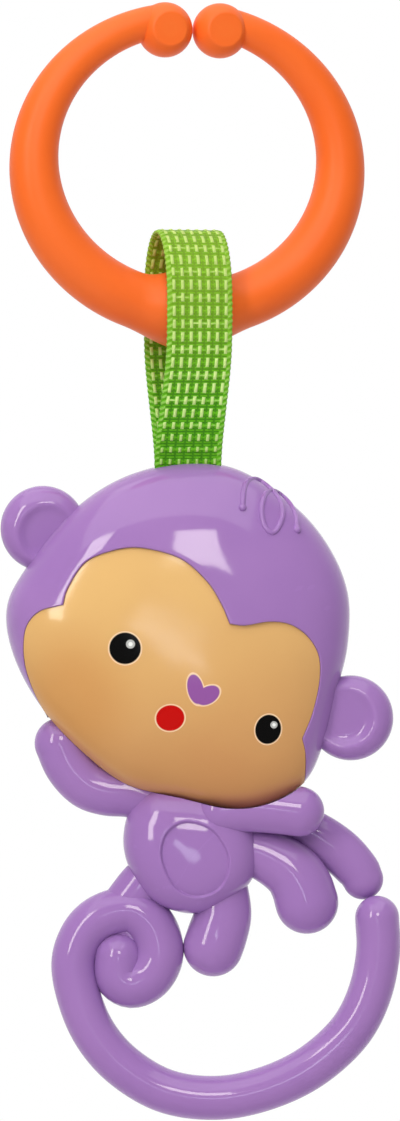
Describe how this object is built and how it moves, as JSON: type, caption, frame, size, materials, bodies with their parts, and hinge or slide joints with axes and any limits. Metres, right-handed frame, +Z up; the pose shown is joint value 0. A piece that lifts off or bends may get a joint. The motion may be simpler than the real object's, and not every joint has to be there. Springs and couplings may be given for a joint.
{
  "type": "hanging baby rattle",
  "caption": "Flat figure rattle with a curled hook tail, hung by a short webbing loop from a split plastic ring",
  "frame": {"origin": "the hang point, under the two knobs of the split ring", "axes": "+Z up along the hanging toy, +X to the viewer's right, front faces -Y"},
  "size_m": [0.0759, 0.0258, 0.212],
  "materials": {
    "orange_plastic": "satin moulded",
    "green_webbing": "woven",
    "white_plastic": "moulded",
    "purple_plastic": "glossy moulded",
    "tan_plastic": "glossy moulded",
    "steel": "plated"
  },
  "bodies": {
    "ring": {"hanging_ring": "orange_plastic"},
    "strap": {"strap_loop": "green_webbing"},
    "pin": {"strap_anchor_pin": "white_plastic"},
    "figure": {"back_shell": "purple_plastic", "head_front_hood": "purple_plastic", "face_plate": "tan_plastic", "torso_front_shell": "purple_plastic", "legs_tail_front_half": "purple_plastic", "legs_tail_rear_half": "purple_plastic", "head_screw_1": "steel", "head_screw_2": "steel", "head_screw_3": "steel", "head_screw_4": "steel", "torso_screw_1": "steel", "torso_screw_2": "steel"},
    "bead_1": {"rattle_bead_1": "white_plastic"},
    "bead_2": {"rattle_bead_2": "white_plastic"},
    "bead_3": {"rattle_bead_3": "white_plastic"},
    "bead_4": {"rattle_bead_4": "white_plastic"},
    "bead_5": {"rattle_bead_5": "white_plastic"},
    "bead_6": {"rattle_bead_6": "white_plastic"}
  },
  "joints": [
    {"name": "strap_swing", "type": "hinge", "parent": "ring", "child": "strap", "pos_m": [0, 0, -0.0478], "axis": [0.9659, 0.2588, 0], "range_deg": [-90, 90]},
    {"name": "figure_twist", "type": "hinge", "parent": "strap", "child": "pin", "pos_m": [0, 0, -0.0826], "axis": [0, 0, 1], "range_deg": [-90, 90], "stiffness_Nm_per_rad": 0.0005, "deforming": ["strap_loop"]},
    {"name": "figure_tilt", "type": "hinge", "parent": "pin", "child": "figure", "pos_m": [0, 0, -0.0826], "axis": [1, 0, 0], "range_deg": [-60, 60], "deforming": ["strap_loop"]},
    {"name": "bead_1_slide", "type": "slide", "parent": "figure", "child": "bead_1", "axis": [0, 0, 1], "range_m": [0, 0.0187]},
    {"name": "bead_2_slide", "type": "slide", "parent": "figure", "child": "bead_2", "axis": [0, 0, 1], "range_m": [0, 0.0216]},
    {"name": "bead_3_slide", "type": "slide", "parent": "figure", "child": "bead_3", "axis": [0, 0, 1], "range_m": [0, 0.0187]},
    {"name": "bead_4_slide", "type": "slide", "parent": "figure", "child": "bead_4", "axis": [0, 0, 1], "range_m": [0, 0.0187]},
    {"name": "bead_5_slide", "type": "slide", "parent": "figure", "child": "bead_5", "axis": [0, 0, 1], "range_m": [0, 0.0216]},
    {"name": "bead_6_slide", "type": "slide", "parent": "figure", "child": "bead_6", "axis": [0, 0, 1], "range_m": [0, 0.0187]}
  ]
}
